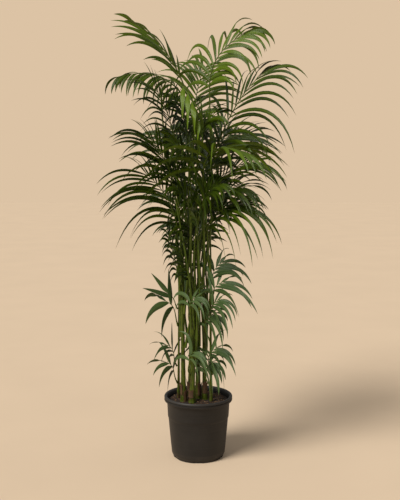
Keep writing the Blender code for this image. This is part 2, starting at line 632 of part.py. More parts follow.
def make_pot():
    """The pot: a tapered wall, a rolled rim, a foot ring and drain holes."""
    inner_top = POT_WALL_TOP_RADIUS - POT_WALL
    rim_under = POT_HEIGHT - RIM_DEPTH
    outline = [
        (0, 0), (POT_FOOT_RADIUS - 0.003, 0), (POT_FOOT_RADIUS, FOOT_HEIGHT * 0.4),
        (POT_FOOT_RADIUS + 0.001, FOOT_HEIGHT), (POT_HEEL_RADIUS - 0.001, FOOT_HEIGHT + 0.003),
        (POT_HEEL_RADIUS, FOOT_HEIGHT + 0.008), (POT_WALL_TOP_RADIUS, rim_under),
        (POT_RIM_RADIUS - 0.003, rim_under), (POT_RIM_RADIUS, rim_under + 0.004),
        (POT_RIM_RADIUS, POT_HEIGHT - 0.006), (POT_RIM_RADIUS - 0.003, POT_HEIGHT),
        (inner_top + 0.006, POT_HEIGHT), (inner_top + 0.002, POT_HEIGHT - 0.005),
        (inner_top, rim_under), (POT_HEEL_RADIUS - POT_WALL, FOOT_HEIGHT + 0.008),
        (POT_FOOT_RADIUS - POT_WALL, POT_FLOOR), (0, POT_FLOOR),
    ]
    pot = new_object("pot", turned(outline, POT_SIDES), "pot")
    holes = bmesh.new()
    for k in range(DRAIN_HOLES):
        turn = math.tau * (k + 0.5) / DRAIN_HOLES
        spot = Matrix.Translation(bearing(math.degrees(turn)) * DRAIN_RING_RADIUS)
        bmesh.ops.create_cone(holes, cap_ends=True, segments=12, radius1=DRAIN_RADIUS, radius2=DRAIN_RADIUS,
                              depth=4 * POT_FLOOR, matrix=spot)
    cut(pot, cutter("drain_holes", holes))
    pot.data.set_sharp_from_angle(angle=math.radians(40))
    return pot


def soil_outline():
    """The soil fills the pot to a little under its rim."""
    slope = (POT_WALL_TOP_RADIUS - POT_HEEL_RADIUS) / (POT_HEIGHT - RIM_DEPTH - FOOT_HEIGHT - 0.008)
    wall_low = POT_HEEL_RADIUS - POT_WALL - 2 * GAP
    wall_high = wall_low + slope * (SOIL_TOP - FOOT_HEIGHT - 0.008)
    return [
        (0, POT_FLOOR + GAP), (POT_FOOT_RADIUS - POT_WALL - 0.001, POT_FLOOR + GAP),
        (wall_low, FOOT_HEIGHT + 0.008), (wall_high, SOIL_TOP), (0, SOIL_TOP),
    ]


def make_soil():
    soil = new_object("potting_soil", turned(soil_outline(), POT_SIDES), "soil")
    sockets = bmesh.new()
    for name in PLANTS:
        foot = cane_point(name, SOIL_TOP)
        flats_out = (cane_radius(name, SOIL_TOP) + GAP) / math.cos(math.pi / CANE_SIDES)
        bmesh.ops.create_cone(
            sockets, cap_ends=True, segments=CANE_SIDES, radius1=flats_out, radius2=flats_out,
            depth=2 * (PLANTING_DEPTH + GAP), matrix=Matrix.Translation(foot),
        )
    cut(soil, cutter("planting_sockets", sockets))
    return soil


def make_cane(name):
    """A cane: a straight foot in the soil, a ringed stem, and a blunt bud at the top."""
    top = PLANTS[name]["top"]
    heights = [SOIL_TOP - PLANTING_DEPTH, SOIL_TOP]
    heights += [SOIL_TOP + (top - SOIL_TOP) * (i + 1) / CANE_RINGS for i in range(CANE_RINGS)]
    shape = bmesh.new()
    rings = []
    for height in heights:
        middle = cane_point(name, max(height, SOIL_TOP))
        radius = cane_radius(name, height)
        ring = [
            shape.verts.new((
                middle[0] + radius * math.cos(math.tau * k / CANE_SIDES),
                middle[1] + radius * math.sin(math.tau * k / CANE_SIDES), height,
            ))
            for k in range(CANE_SIDES)
        ]
        rings.append(ring)
    for low, high in zip(rings, rings[1:]):
        for k in range(CANE_SIDES):
            after = (k + 1) % CANE_SIDES
            shape.faces.new((low[k], low[after], high[after], high[k]))
    shape.faces.new(rings[0])
    bud = shape.verts.new(tuple(cane_point(name, top + BUD_HEIGHT)))
    for k in range(CANE_SIDES):
        shape.faces.new((rings[-1][k], rings[-1][(k + 1) % CANE_SIDES], bud))
    return new_object(f"cane_{name}", shape, "cane")


def make_frond(leaf):
    """One closed solid: a three-cornered tube, with each leaflet drawn out of a face of it."""
    shape = bmesh.new()
    corners = [shape.verts.new(tuple(corner)) for ring in leaf.rings for corner in ring]
    taken = {}
    for spot, leaflet in leaf.leaflets.items():
        taken[(leaf.first_spot + spot, spot % 2)] = leaflet
    for face in tube_faces(len(leaf.rings))[:2]:
        shape.faces.new([corners[k] for k in face])
    for ring in range(len(leaf.rings) - 1):
        low, high = corners[3 * ring:3 * ring + 3], corners[3 * ring + 3:3 * ring + 6]
        for k in range(3):
            after = (k + 1) % 3
            leaflet = taken.get((ring, 1 if k == 0 else 0)) if k != 1 else None
            if leaflet is None:
                shape.faces.new((low[k], low[after], high[after], high[k]))
                continue
            side = 1 if k == 0 else 2
            shape.faces.new((low[0], high[side], high[0]))
            add_leaflet(shape, (low[side], high[side], low[0]), leaflet)
    kind = "frond" if leaf.frond["thick"] == 1.0 else "young_frond"
    bmesh.ops.triangulate(shape, faces=shape.faces)
    return new_object(f"frond_{leaf.name}", shape, kind)


def add_leaflet(shape, foot, leaflet):
    """Draws a leaflet out of the open three-cornered foot: back edge, front edge, ridge."""
    sections, tip = leaflet_sections(*leaflet, LEAFLET_THICKNESS)
    corners = list(foot)
    points = [np.array(corner.co) for corner in foot]
    for section in sections:
        corners += [shape.verts.new(tuple(point)) for point in section]
        points += section
        for face in band(points, len(points) - 6, len(points) - 3):
            shape.faces.new([corners[k] for k in face])
    end = shape.verts.new(tuple(tip))
    for k in range(3):
        shape.faces.new((corners[k - 3], corners[(k + 1) % 3 - 3], end))


def obstacle(made):
    """A piece's own mesh, as something for leaflets to stay clear of."""
    return solid_tree([vertex.co for vertex in made.data.vertices],
                      [tuple(face.vertices) for face in made.data.polygons])


def clear_scene():
    for old in list(bpy.data.objects):
        bpy.data.objects.remove(old, do_unlink=True)


FROND_LIST = list(FRONDS.values())


def main():
    clear_scene()
    posts = [make_cane(name) for name in PLANTS] + [make_pot(), make_soil()]
    stalks = [stalk_course(frond) for frond in FROND_LIST]
    courses = [stalk + blade_course(frond) for stalk, frond in zip(stalks, FROND_LIST)]
    radii = []
    for stalk, course, frond in zip(stalks, courses, FROND_LIST):
        blade = len(course) - len(stalk)
        radii.append([
            stalk_radius(frond, i / len(stalk) if i < len(stalk) else 1 + (i - len(stalk)) / blade)
            for i in range(len(course))
        ])
    settled = settle(courses, radii)
    leaves = [
        Leaf(name, frond, points, len(stalk))
        for (name, frond), points, stalk in zip(FRONDS.items(), settled, stalks)
    ]
    grow_leaflets(leaves, [obstacle(post) for post in posts])
    for leaf in leaves:
        make_frond(leaf)


main()
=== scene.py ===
# %% [markdown]
# # A potted kentia palm
# The palm is put together the way it grew: a nursery pot full of soil, seven canes, and a frond on each
# stalk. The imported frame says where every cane, stalk and leaflet runs, so this lesson starts by
# loading it. All that follows is finish: thin folded leaflets, ringed canes, a moulded pot, loose soil.

# %% Load the frame
import math
import random

import bmesh
import bpy
import numpy as np
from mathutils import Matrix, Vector, noise


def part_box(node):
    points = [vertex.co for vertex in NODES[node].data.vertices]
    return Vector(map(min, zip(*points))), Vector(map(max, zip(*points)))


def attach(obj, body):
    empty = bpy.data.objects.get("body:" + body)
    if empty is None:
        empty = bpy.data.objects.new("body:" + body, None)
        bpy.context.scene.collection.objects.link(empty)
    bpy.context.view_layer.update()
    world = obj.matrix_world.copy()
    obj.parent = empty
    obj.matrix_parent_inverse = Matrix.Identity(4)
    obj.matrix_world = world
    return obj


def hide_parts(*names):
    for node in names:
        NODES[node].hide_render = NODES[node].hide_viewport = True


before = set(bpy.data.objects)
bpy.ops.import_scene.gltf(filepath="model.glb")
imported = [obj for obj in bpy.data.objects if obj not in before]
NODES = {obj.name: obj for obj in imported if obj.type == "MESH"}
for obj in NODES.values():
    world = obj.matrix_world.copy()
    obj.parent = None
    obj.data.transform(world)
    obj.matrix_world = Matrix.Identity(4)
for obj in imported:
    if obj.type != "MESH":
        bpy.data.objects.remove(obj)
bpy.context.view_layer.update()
FRONDS = sorted(name for name in NODES if name.startswith("frond_"))
CANES = sorted(name for name in NODES if name.startswith("cane_"))

# %% [markdown]
# ## Camera
# A standing person's view from a little over three metres: the pot is seen slightly from above and the
# crown almost level. A long lens keeps the canes upright.

# %% Camera
EYE = (0.007, -3.2, 1.214)
LOOK_DOWN = 6.41
LENS = 57.43
SENSOR_WIDTH = 36
bpy.ops.object.select_all(action="DESELECT")
bpy.ops.object.camera_add(location=EYE, rotation=(math.radians(90 - LOOK_DOWN), 0, 0))
camera = bpy.context.object
camera.data.lens = LENS
camera.data.sensor_width = SENSOR_WIDTH
bpy.context.scene.camera = camera
print("camera at", EYE)


# %% [markdown]
# ## Small helpers
# Operators act on whatever is selected, so `only` leaves exactly one object selected and active.
# `material` starts a Principled material, and `add` drops a node in and sets its inputs, which keeps
# the material cells short enough to read.

# %% Helpers
def only(piece):
    bpy.ops.object.select_all(action="DESELECT")
    piece.select_set(True)
    bpy.context.view_layer.objects.active = piece


def apply_all(piece):
    only(piece)
    for modifier in list(piece.modifiers):
        bpy.ops.object.modifier_apply(modifier=modifier.name)


def finish_piece(piece, name, slot, *nodes):
    """Names a piece, lets it ride on the one body, and hides the frame's nodes that it stands for."""
    piece.name = piece.data.name = name
    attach(piece, "root")
    if nodes:
        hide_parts(*nodes)


def material(name, roughness):
    made = bpy.data.materials.new(name)
    made.use_nodes = True
    shader = made.node_tree.nodes["Principled BSDF"]
    shader.inputs["Roughness"].default_value = roughness
    return made, made.node_tree, shader


def add(tree, kind, **settings):
    """Adds a node; a setting is one of its inputs, by name with _ for spaces, or a property."""
    node = tree.nodes.new("ShaderNode" + kind)
    for key, value in settings.items():
        socket = next((s for s in node.inputs if s.name.replace(" ", "_") == key), None)
        if socket is None:
            setattr(node, key, value)
        elif isinstance(value, bpy.types.NodeSocket):
            tree.links.new(value, socket)
        else:
            socket.default_value = value
    return node


def maths(tree, operation, first, second=0.5):
    node = tree.nodes.new("ShaderNodeMath")
    node.operation = operation
    for socket, value in zip(node.inputs, (first, second)):
        if isinstance(value, bpy.types.NodeSocket):
            tree.links.new(value, socket)
        else:
            socket.default_value = value
    return node.outputs[0]


def blend_colours(tree, factor, first, second, kind="MIX"):
    node = tree.nodes.new("ShaderNodeMix")
    node.data_type = "RGBA"
    node.blend_type = kind
    for socket, value in ((node.inputs[0], factor), (node.inputs[6], first), (node.inputs[7], second)):
        if isinstance(value, bpy.types.NodeSocket):
            tree.links.new(value, socket)
        elif isinstance(value, tuple):
            socket.default_value = (*value, 1)
        else:
            socket.default_value = value
    return node.outputs[2]


def ramp(tree, factor, *stops):
    node = tree.nodes.new("ShaderNodeValToRGB")
    tree.links.new(factor, node.inputs[0])
    elements = node.color_ramp.elements
    while len(elements) < len(stops):
        elements.new(1)
    for element, (place, colour) in zip(elements, stops):
        element.position = place
        element.color = (*colour, 1)
    return node.outputs[0]


def bump(tree, shader, height, strength, distance):
    node = add(tree, "Bump", Height=height, Strength=strength, Distance=distance)
    tree.links.new(node.outputs[0], shader.inputs["Normal"])


# %% [markdown]
# ## Leaf material
# A palm leaflet is dark and waxy above, with a pale midrib and dozens of fine veins running its whole
# length. Each leaflet carries its own UV map, across the blade in x and along it in y, so the veins
# follow every bend. A `tint` attribute makes each leaflet a little lighter or darker, and it carries painted
# light and shade too: fronds at the top and front are painted lighter, those inside and at the back darker.
# The very tips dry to brown, and a share of Translucent lets light through, because a leaf with the sun
# behind it glows yellow-green. Young leaves are a cooler, greyer green than grown ones.

# %% Leaf material
VEIN_TURNS = 130.0  # in radians over the blade's width: about twenty veins
VEINS_SHOW, RIB_SHOWS = 0.14, 0.30
RIB_HALF_WIDTH = 0.035
DRY_TIP_FROM = 0.955
DRY_TIP = (0.13, 0.085, 0.03)
LIGHT_THROUGH = 0.16


def leaf_material(name, roughness, deep, fresh, glow):
    made, tree, shader = material(name, roughness)
    place = add(tree, "UVMap", uv_map="blade")
    across = add(tree, "SeparateXYZ", Vector=place.outputs[0])
    tint = add(tree, "Attribute", attribute_name="tint").outputs["Fac"]
    where = add(tree, "TexCoord").outputs["Object"]
    patches = add(tree, "TexNoise", Vector=where, Scale=9.0, Detail=3.0).outputs["Fac"]
    shade = maths(tree, "ADD", maths(tree, "MULTIPLY", tint, 0.8), maths(tree, "MULTIPLY", patches, 0.35))
    green = ramp(tree, shade, (0.20, deep), (0.95, fresh))
    veins = maths(tree, "SINE", maths(tree, "MULTIPLY", across.outputs[0], VEIN_TURNS), 0)
    veins = maths(tree, "MULTIPLY", maths(tree, "ADD", veins, 1.0), 0.5)
    striped = blend_colours(tree, maths(tree, "MULTIPLY", veins, VEINS_SHOW), green, fresh)
    off_middle = maths(tree, "ABSOLUTE", maths(tree, "SUBTRACT", across.outputs[0], 0.5), 0)
    rib = maths(tree, "LESS_THAN", off_middle, RIB_HALF_WIDTH)
    ribbed = blend_colours(tree, maths(tree, "MULTIPLY", rib, RIB_SHOWS), striped, glow)
    tip = maths(tree, "GREATER_THAN", across.outputs[1], DRY_TIP_FROM)
    colour = blend_colours(tree, maths(tree, "MULTIPLY", tip, 0.6), ribbed, DRY_TIP)
    tree.links.new(colour, shader.inputs["Base Color"])
    shader.inputs["Specular IOR Level"].default_value = 0.32
    bump(tree, shader, maths(tree, "ADD", veins, maths(tree, "MULTIPLY", rib, 2.0)), 0.35, 0.0004)
    through = add(tree, "BsdfTranslucent", Color=blend_colours(tree, 0.65, colour, glow))
    mixed = tree.nodes.new("ShaderNodeMixShader")
    mixed.inputs[0].default_value = LIGHT_THROUGH
    tree.links.new(shader.outputs[0], mixed.inputs[1])
    tree.links.new(through.outputs[0], mixed.inputs[2])
    tree.links.new(mixed.outputs[0], tree.nodes["Material Output"].inputs["Surface"])
    return made


GROWN_LEAF = leaf_material("grown leaf", 0.33, (0.005, 0.016, 0.001), (0.115, 0.190, 0.006),
                           (0.30, 0.42, 0.02))
YOUNG_LEAF = leaf_material("young leaf", 0.38, (0.009, 0.026, 0.007), (0.090, 0.150, 0.046),
                           (0.22, 0.32, 0.08))
print("leaf materials:", GROWN_LEAF.name, "and", YOUNG_LEAF.name)

# %% [markdown]
# ## Stalk and cane materials
# A stalk is smooth and yellow-green, streaked lengthwise, with a dusting of brown scales. A cane is the
# same green, but ringed where old leaves dropped, and its foot is brown with dry leaf sheaths. Stretching
# a noise along Z by a Mapping node gives the streaks, and a ramp on the height brings in the brown.

# %% Stalk and cane materials
def streaks(tree, scale, stretch):
    where = add(tree, "TexCoord").outputs["Object"]
    turned = add(tree, "Mapping", Vector=where)
    turned.inputs["Scale"].default_value = (scale, scale, scale * stretch)
    return where, add(tree, "TexNoise", Vector=turned.outputs[0], Scale=1.0, Detail=4.0).outputs["Fac"]


def stalk_material():
    made, tree, shader = material("stalk", 0.42)
    shader.inputs["Specular IOR Level"].default_value = 0.3
    where, streak = streaks(tree, 420.0, 0.04)
    green = ramp(tree, streak, (0.3, (0.018, 0.040, 0.002)), (0.72, (0.105, 0.150, 0.007)))
    scales = add(tree, "TexNoise", Vector=where, Scale=260.0, Detail=2.0).outputs["Fac"]
    dusted = blend_colours(tree, maths(tree, "GREATER_THAN", scales, 0.66), green, (0.10, 0.07, 0.03))
    tree.links.new(dusted, shader.inputs["Base Color"])
    bump(tree, shader, streak, 0.4, 0.0005)
    return made


def cane_material():
    made, tree, shader = material("cane", 0.5)
    shader.inputs["Specular IOR Level"].default_value = 0.25
    where, streak = streaks(tree, 300.0, 0.05)
    height = add(tree, "SeparateXYZ", Vector=where).outputs[2]
    green = ramp(tree, streak, (0.3, (0.016, 0.030, 0.002)), (0.75, (0.110, 0.140, 0.008)))
    patches = add(tree, "TexNoise", Vector=where, Scale=28.0, Detail=5.0).outputs["Fac"]
    low = maths(tree, "SUBTRACT", maths(tree, "MULTIPLY", patches, 1.5), maths(tree, "MULTIPLY", height, 2.2))
    brown = ramp(tree, streak, (0.3, (0.030, 0.015, 0.007)), (0.8, (0.120, 0.065, 0.026)))
    colour = blend_colours(tree, ramp(tree, low, (0.18, (0, 0, 0)), (0.36, (1, 1, 1))), green, brown)
    tree.links.new(colour, shader.inputs["Base Color"])
    bump(tree, shader, streak, 0.6, 0.0008)
    return made


def sheath_material():
    made, tree, shader = material("dry sheath", 0.8)
    where, streak = streaks(tree, 520.0, 0.03)
    colour = ramp(tree, streak, (0.25, (0.018, 0.009, 0.004)), (0.5, (0.075, 0.036, 0.013)),
                  (0.8, (0.21, 0.115, 0.040)))
    tree.links.new(colour, shader.inputs["Base Color"])
    bump(tree, shader, streak, 0.8, 0.0008)
    return made


STALK, CANE, SHEATH = stalk_material(), cane_material(), sheath_material()
print("stalk, cane and sheath materials made")

# %% [markdown]
# ## Pot and soil materials
# The pot is black recycled plastic, satin, with a fine moulded grain, faint flow streaks round it and a
# little dust that has settled low down. Its rim is painted paler towards the top: a painted highlight.
# Soil is near-black peat. A coarse noise makes most of the chips on it dark and a few of them tan.

# %% Pot and soil materials
DUST_TO = 0.03
# the heights over which the rim is painted paler: a painted highlight
RIM_HIGHLIGHT_FROM, RIM_HIGHLIGHT_TO = 0.242, 0.256


def pot_material():
    made, tree, shader = material("pot plastic", 0.5)
    shader.inputs["Specular IOR Level"].default_value = 0.32
    where = add(tree, "TexCoord").outputs["Object"]
    cloud = add(tree, "TexNoise", Vector=where, Scale=14.0, Detail=5.0).outputs["Fac"]
    flow = add(tree, "Mapping", Vector=where)
    flow.inputs["Scale"].default_value = (9.0, 9.0, 190.0)
    rings = add(tree, "TexNoise", Vector=flow.outputs[0], Scale=1.0, Detail=3.0).outputs["Fac"]
    shade = maths(tree, "ADD", maths(tree, "MULTIPLY", cloud, 0.6), maths(tree, "MULTIPLY", rings, 0.4))
    colour = ramp(tree, shade, (0.3, (0.0085, 0.0080, 0.0075)), (0.7, (0.0200, 0.0180, 0.0160)))
    height = add(tree, "SeparateXYZ", Vector=where).outputs[2]
    dust = maths(tree, "MULTIPLY", maths(tree, "LESS_THAN", height, DUST_TO), cloud)
    dusty = blend_colours(tree, maths(tree, "MULTIPLY", dust, 0.25), colour, (0.07, 0.055, 0.04))
    # painted highlight: the rim is blended paler towards its top
    rim_highlight = add(tree, "MapRange", Value=height, From_Min=RIM_HIGHLIGHT_FROM, From_Max=RIM_HIGHLIGHT_TO, To_Max=0.5)
    highlighted = blend_colours(tree, rim_highlight.outputs[0], dusty, (0.052, 0.049, 0.045))
    tree.links.new(highlighted, shader.inputs["Base Color"])
    gloss = add(tree, "MapRange", Value=cloud, To_Min=0.42, To_Max=0.62).outputs[0]
    tree.links.new(gloss, shader.inputs["Roughness"])
    grain = add(tree, "TexNoise", Vector=where, Scale=900.0, Detail=2.0).outputs["Fac"]
    bump(tree, shader, maths(tree, "ADD", grain, rings), 0.12, 0.0005)
    return made


def ground_material(name, scale, roughness, *stops):
    made, tree, shader = material(name, roughness)
    where = add(tree, "TexCoord").outputs["Object"]
    crumbs = add(tree, "TexNoise", Vector=where, Scale=scale, Detail=6.0, Roughness=0.7).outputs["Fac"]
    tree.links.new(ramp(tree, crumbs, *stops), shader.inputs["Base Color"])
    bump(tree, shader, crumbs, 0.9, 0.002)
    return made


POT = pot_material()
SOIL = ground_material("soil", 260.0, 0.95, (0.35, (0.006, 0.004, 0.003)), (0.6, (0.026, 0.014, 0.008)),
                       (0.78, (0.12, 0.068, 0.035)))
BARK = ground_material("bark chip", 95.0, 0.9, (0.38, (0.018, 0.009, 0.005)), (0.55, (0.085, 0.042, 0.018)),
                       (0.68, (0.42, 0.26, 0.13)))
print("pot, soil and bark materials made")


# %% [markdown]
# ## Reading the fronds
# The frame's fronds are plain closed solids: a three-cornered tube, with leaflets drawn out of it that
# each end in a point. Merged, such a mesh can be walked ring by ring. A leaflet is found by its tip, a
# point with three long edges, and followed back to the tube. What is left is the tube itself, walked
# from one end to the other. So every fine leaflet below lies where the frame has it.

# %% Walk the solids
LEAST_TIP_EDGE = 0.02  # the edges at a leaflet's tip are longer than this, those of a tube's end shorter
SAME_PLACE = 2e-5


def merged(node):
    """The node's corners, each listed once, and for each the numbers of its neighbours."""
    shape = bmesh.new()
    shape.from_mesh(NODES[node].data)
    bmesh.ops.remove_doubles(shape, verts=shape.verts, dist=SAME_PLACE)
    bmesh.ops.triangulate(shape, faces=shape.faces)
    shape.verts.ensure_lookup_table()
    places = np.array([vertex.co for vertex in shape.verts])
    near = [{edge.other_vert(vertex).index for edge in vertex.link_edges} for vertex in shape.verts]
    shape.free()
    return places, near


def around(ring, near, used):
    """The neighbours of a ring of corners, without the ring and those used."""
    return set().union(*(near[k] for k in ring)) - set(ring) - used


def read_leaflets(places, near):
    """Each leaflet as its foot, its two sections (middle, edge to edge) and its tip."""
    found, used = [], set()
    for tip, ring in enumerate(near):
        if len(ring) != 3 or min(np.linalg.norm(places[k] - places[tip]) for k in ring) < LEAST_TIP_EDGE:
            continue
        far = ring
        middle = around(far, near, {tip})
        foot = around(middle, near, far)
        if len(middle) != 3 or len(foot) != 3:
            continue
        sections = []
        for section in (middle, far):
            corners = sorted(section)
            pairs = [(a, b) for a in corners for b in corners if a < b]
            a, b = max(pairs, key=lambda pair: np.linalg.norm(places[pair[0]] - places[pair[1]]))
            ridge = next(k for k in corners if k not in (a, b))
            centre = (places[a] + places[b]) / 2
            sections.append((centre, places[b] - places[a], places[ridge] - centre))
        found.append((np.mean([places[k] for k in foot], axis=0), sections, places[tip]))
        used |= {tip} | far | middle
    return found, used


def farthest(start, near, allowed):
    """A corner that is the most steps away from the start, within those allowed."""
    reached, edge = {start}, {start}
    while edge:
        last = min(edge)
        edge = around(edge, near, reached) & allowed
        reached |= edge
    return last


def read_stalk(places, near, used):
    """Middles and radii of the tube's rings, from the seat on the cane to the tip."""
    allowed = set(range(len(places))) - used
    end = farthest(farthest(min(allowed), near, allowed), near, allowed)
    mates = sorted(near[end] & allowed, key=lambda k: np.linalg.norm(places[k] - places[end]))[:2]
    ring, seen, rings = {end, *mates}, set(), []
    while ring:
        rings.append([places[k] for k in ring])
        seen |= ring
        ring = {b for a in ring for b in near[a] if b in allowed and b not in seen}
    middles = np.array([np.mean(corners, axis=0) for corners in rings])
    radii = np.array([np.mean(np.linalg.norm(np.array(c) - m, axis=1)) for c, m in zip(rings, middles)])
    if radii[0] < radii[-1]:
        middles, radii = middles[::-1], radii[::-1]
    return middles, radii


read = {}
for name in FRONDS:
    places, near = merged(name)
    leaflets, used = read_leaflets(places, near)
    read[name] = (*read_stalk(places, near, used), leaflets)
print(sum(len(found[2]) for found in read.values()), "leaflets read from the frame")

# %% [markdown]
# ## One leaflet
# A leaflet is a long narrow blade, folded along its midrib like a shallow roof, slim at the foot and
# drawn out to a long point. It is modelled once, lying along +Y: a grid, its edges lowered to fold it,
# then a Solidify for its thickness. It stays at a few dozen faces, because the palm has hundreds. Its
# outline is set later, in the copies, so the width can differ from one leaflet to the next.

# %% Model the leaflet
LEAFLET_ROWS = 12
THICKNESS = 0.03  # against the width, as everything about the pattern is
FOLD = 0.16  # how far the edges drop
FOOT_WIDTH = 0.30
WIDEST_AT = 0.3  # as a share of the length


def leaflet_width(share):
    """Width against the greatest width, as on the frame's own leaflets."""
    share = np.clip(share, 0, 1)
    swell = FOOT_WIDTH + (1 - FOOT_WIDTH) * np.sin(math.pi / 2 * np.clip(share / WIDEST_AT, 0, 1))
    beyond = np.clip(share - WIDEST_AT, 0, 1) / (1 - WIDEST_AT)
    return np.where(share < WIDEST_AT, swell, (1 - beyond**1.7) ** 0.9)


bpy.ops.object.select_all(action="DESELECT")
bpy.ops.mesh.primitive_grid_add(x_subdivisions=2, y_subdivisions=LEAFLET_ROWS, size=1, location=(0, 0.5, 0))
bpy.ops.object.transform_apply(location=True)
pattern = bpy.context.object
bpy.ops.object.mode_set(mode="EDIT")
bpy.ops.mesh.select_all(action="DESELECT")
shape = bmesh.from_edit_mesh(pattern.data)
for vertex in shape.verts:
    vertex.select = abs(vertex.co.x) > 0.25
shape.select_flush_mode()
bmesh.update_edit_mesh(pattern.data)
bpy.ops.transform.translate(value=(0, 0, -FOLD))
bpy.ops.object.mode_set(mode="OBJECT")
thick = pattern.modifiers.new("thickness", "SOLIDIFY")
thick.thickness = THICKNESS
thick.offset = -1
apply_all(pattern)
LEAFLET_POINTS = np.array([vertex.co for vertex in pattern.data.vertices])
LEAFLET_FACES = [tuple(face.vertices) for face in pattern.data.polygons]
bpy.data.objects.remove(pattern, do_unlink=True)
print("a leaflet has", len(LEAFLET_POINTS), "points and", len(LEAFLET_FACES), "faces")


# %% [markdown]
# ## Bending the leaflets
# The frame gives four places on a leaflet's middle line, at 0, 0.25, 0.6 and all of its length. One
# smooth cubic runs through them, which is the arc that a blade takes under its own weight. Each copy of
# the leaflet is carried along that arc in code: its rows are set across the curve, scaled to the
# outline, and given a slight twist, because no two real ones hang quite alike.

# %% Bend the copies
CUTS = np.array([0.0, 0.25, 0.6, 1.0])
SLIMNESS = 0.88  # a blade's width, against the frame's blunter one
LEAST_WIDTH = 0.002  # the fold and thickness don't shrink below what this width has
TWIST = 0.5  # in radians, at the tip
# How light a frond is painted, from 0, dark, to 1, yellow-green and lighter. This is partly the frond's own
# age and partly painted light and shade: fronds at the top and front are painted lighter, those inside and
# at the back darker. The first word that its name holds counts, and a frond with none of them has EVERYDAY.
EVERYDAY = 0.3
TONE_SPREAD = 0.14
FRESHNESS_AND_PAINTED_LIGHT = {
    "front_high": 1.1, "top_": 0.65, "upper_left": 0.45, "right_mid": 0.55, "right_high": 0.12,
    "right_back": 0.1, "left_mid": 0.3, "inner": 0.1, "back": 0.12, "young_left": 0.6, "young_front": 0.85,
    "young": 0.65,
}


def unit(rows):
    return rows / np.linalg.norm(rows, axis=-1, keepdims=True)


def bend_leaflet(leaflet, draw):
    """The leaflet's points, carried along its arc."""
    foot, sections, tip = leaflet
    knots = np.array([foot, sections[0][0], sections[1][0], tip])
    cubic = np.linalg.solve(np.vander(CUTS, 4), knots)
    share = LEAFLET_POINTS[:, 1].clip(0, 1)
    middle = np.vander(share, 4) @ cubic
    way = unit(np.vander(share, 4)[:, 1:] * np.array([3, 2, 1]) @ cubic[:3])
    first, second = unit(sections[0][1]), unit(sections[1][1])
    if first @ second < 0:
        second = -second
    blend_in = np.clip((share - CUTS[1]) / (CUTS[2] - CUTS[1]), 0, 1)[:, None]
    across = first * (1 - blend_in) + second * blend_in
    across = unit(across - way * np.sum(across * way, axis=1, keepdims=True))
    up = np.cross(across, way)
    if np.sum(up[0] * sections[0][2]) < 0:
        across, up = -across, -up
    twist = (draw.uniform(-TWIST, TWIST) * share)[:, None]
    across, up = across * np.cos(twist) + up * np.sin(twist), up * np.cos(twist) - across * np.sin(twist)
    greatest = SLIMNESS * np.linalg.norm(sections[0][1])
    width = (greatest * leaflet_width(share))[:, None]
    folded = LEAFLET_POINTS[:, 2:] * np.maximum(width, LEAST_WIDTH)
    return middle + across * LEAFLET_POINTS[:, :1] * width + up * folded


def make_blades(name, leaflets, draw):
    """All the leaflets of one frond, as one mesh with its UV map and tint."""
    count = len(LEAFLET_POINTS)
    points = np.concatenate([bend_leaflet(leaflet, draw) for leaflet in leaflets])
    faces = [tuple(n * count + k for k in face) for n in range(len(leaflets)) for face in LEAFLET_FACES]
    mesh = bpy.data.meshes.new(name)
    mesh.from_pydata(points.tolist(), [], faces)
    corners = np.empty(len(mesh.loops), np.int32)
    mesh.loops.foreach_get("vertex_index", corners)
    flat = np.tile(np.stack([LEAFLET_POINTS[:, 0] + 0.5, LEAFLET_POINTS[:, 1]], 1), (len(leaflets), 1))
    mesh.uv_layers.new(name="blade").data.foreach_set("uv", flat[corners].astype(np.float32).ravel())
    # the frond's tone: partly its own age, partly painted light and shade from its place in the crown
    freshness_and_light = next((value for word, value in FRESHNESS_AND_PAINTED_LIGHT.items() if word in name), EVERYDAY)
    tints = np.repeat([draw.gauss(freshness_and_light, TONE_SPREAD) for _ in leaflets], count).astype(np.float32)
    mesh.attributes.new("tint", "FLOAT", "POINT").data.foreach_set("value", tints)
    made = bpy.data.objects.new(name, mesh)
    bpy.context.scene.collection.objects.link(made)
    return made


print("leaflets can be bent along their arcs")


# %% [markdown]
# ## Stalks
# A stalk is a smooth tapering rod, wide where it clasps the cane and hair-thin at the tip of the midrib.
# A curve with a bevel does that well: each ring of the frame becomes a point with its own radius, and
# converting the curve to a mesh lets it be joined to the leaflets as one frond.

# %% Stalks
CLASP = 1.45  # how much a stalk widens at its seat
ROUNDED = 0.82  # a round rod's radius, against that of the three corners it replaces


def make_stalk(name, middles, radii):
    """A round rod along the ring middles, as thick as the radii say."""
    bpy.ops.object.select_all(action="DESELECT")
    bpy.ops.curve.primitive_nurbs_path_add()
    stalk = bpy.context.object
    curve = stalk.data
    curve.splines.clear()
    line = curve.splines.new("NURBS")
    line.points.add(len(middles) - 1)
    for point, middle, radius in zip(line.points, middles, radii):
        point.co = (*middle, 1)
        point.radius = radius * ROUNDED
    line.points[0].radius *= CLASP
    line.use_endpoint_u = True
    line.order_u = 4
    line.resolution_u = 2
    curve.dimensions = "3D"
    curve.bevel_depth = 1.0
    curve.bevel_resolution = 2
    curve.use_fill_caps = True
    only(stalk)
    bpy.ops.object.convert(target="MESH")
    stalk.name = name
    return bpy.context.object


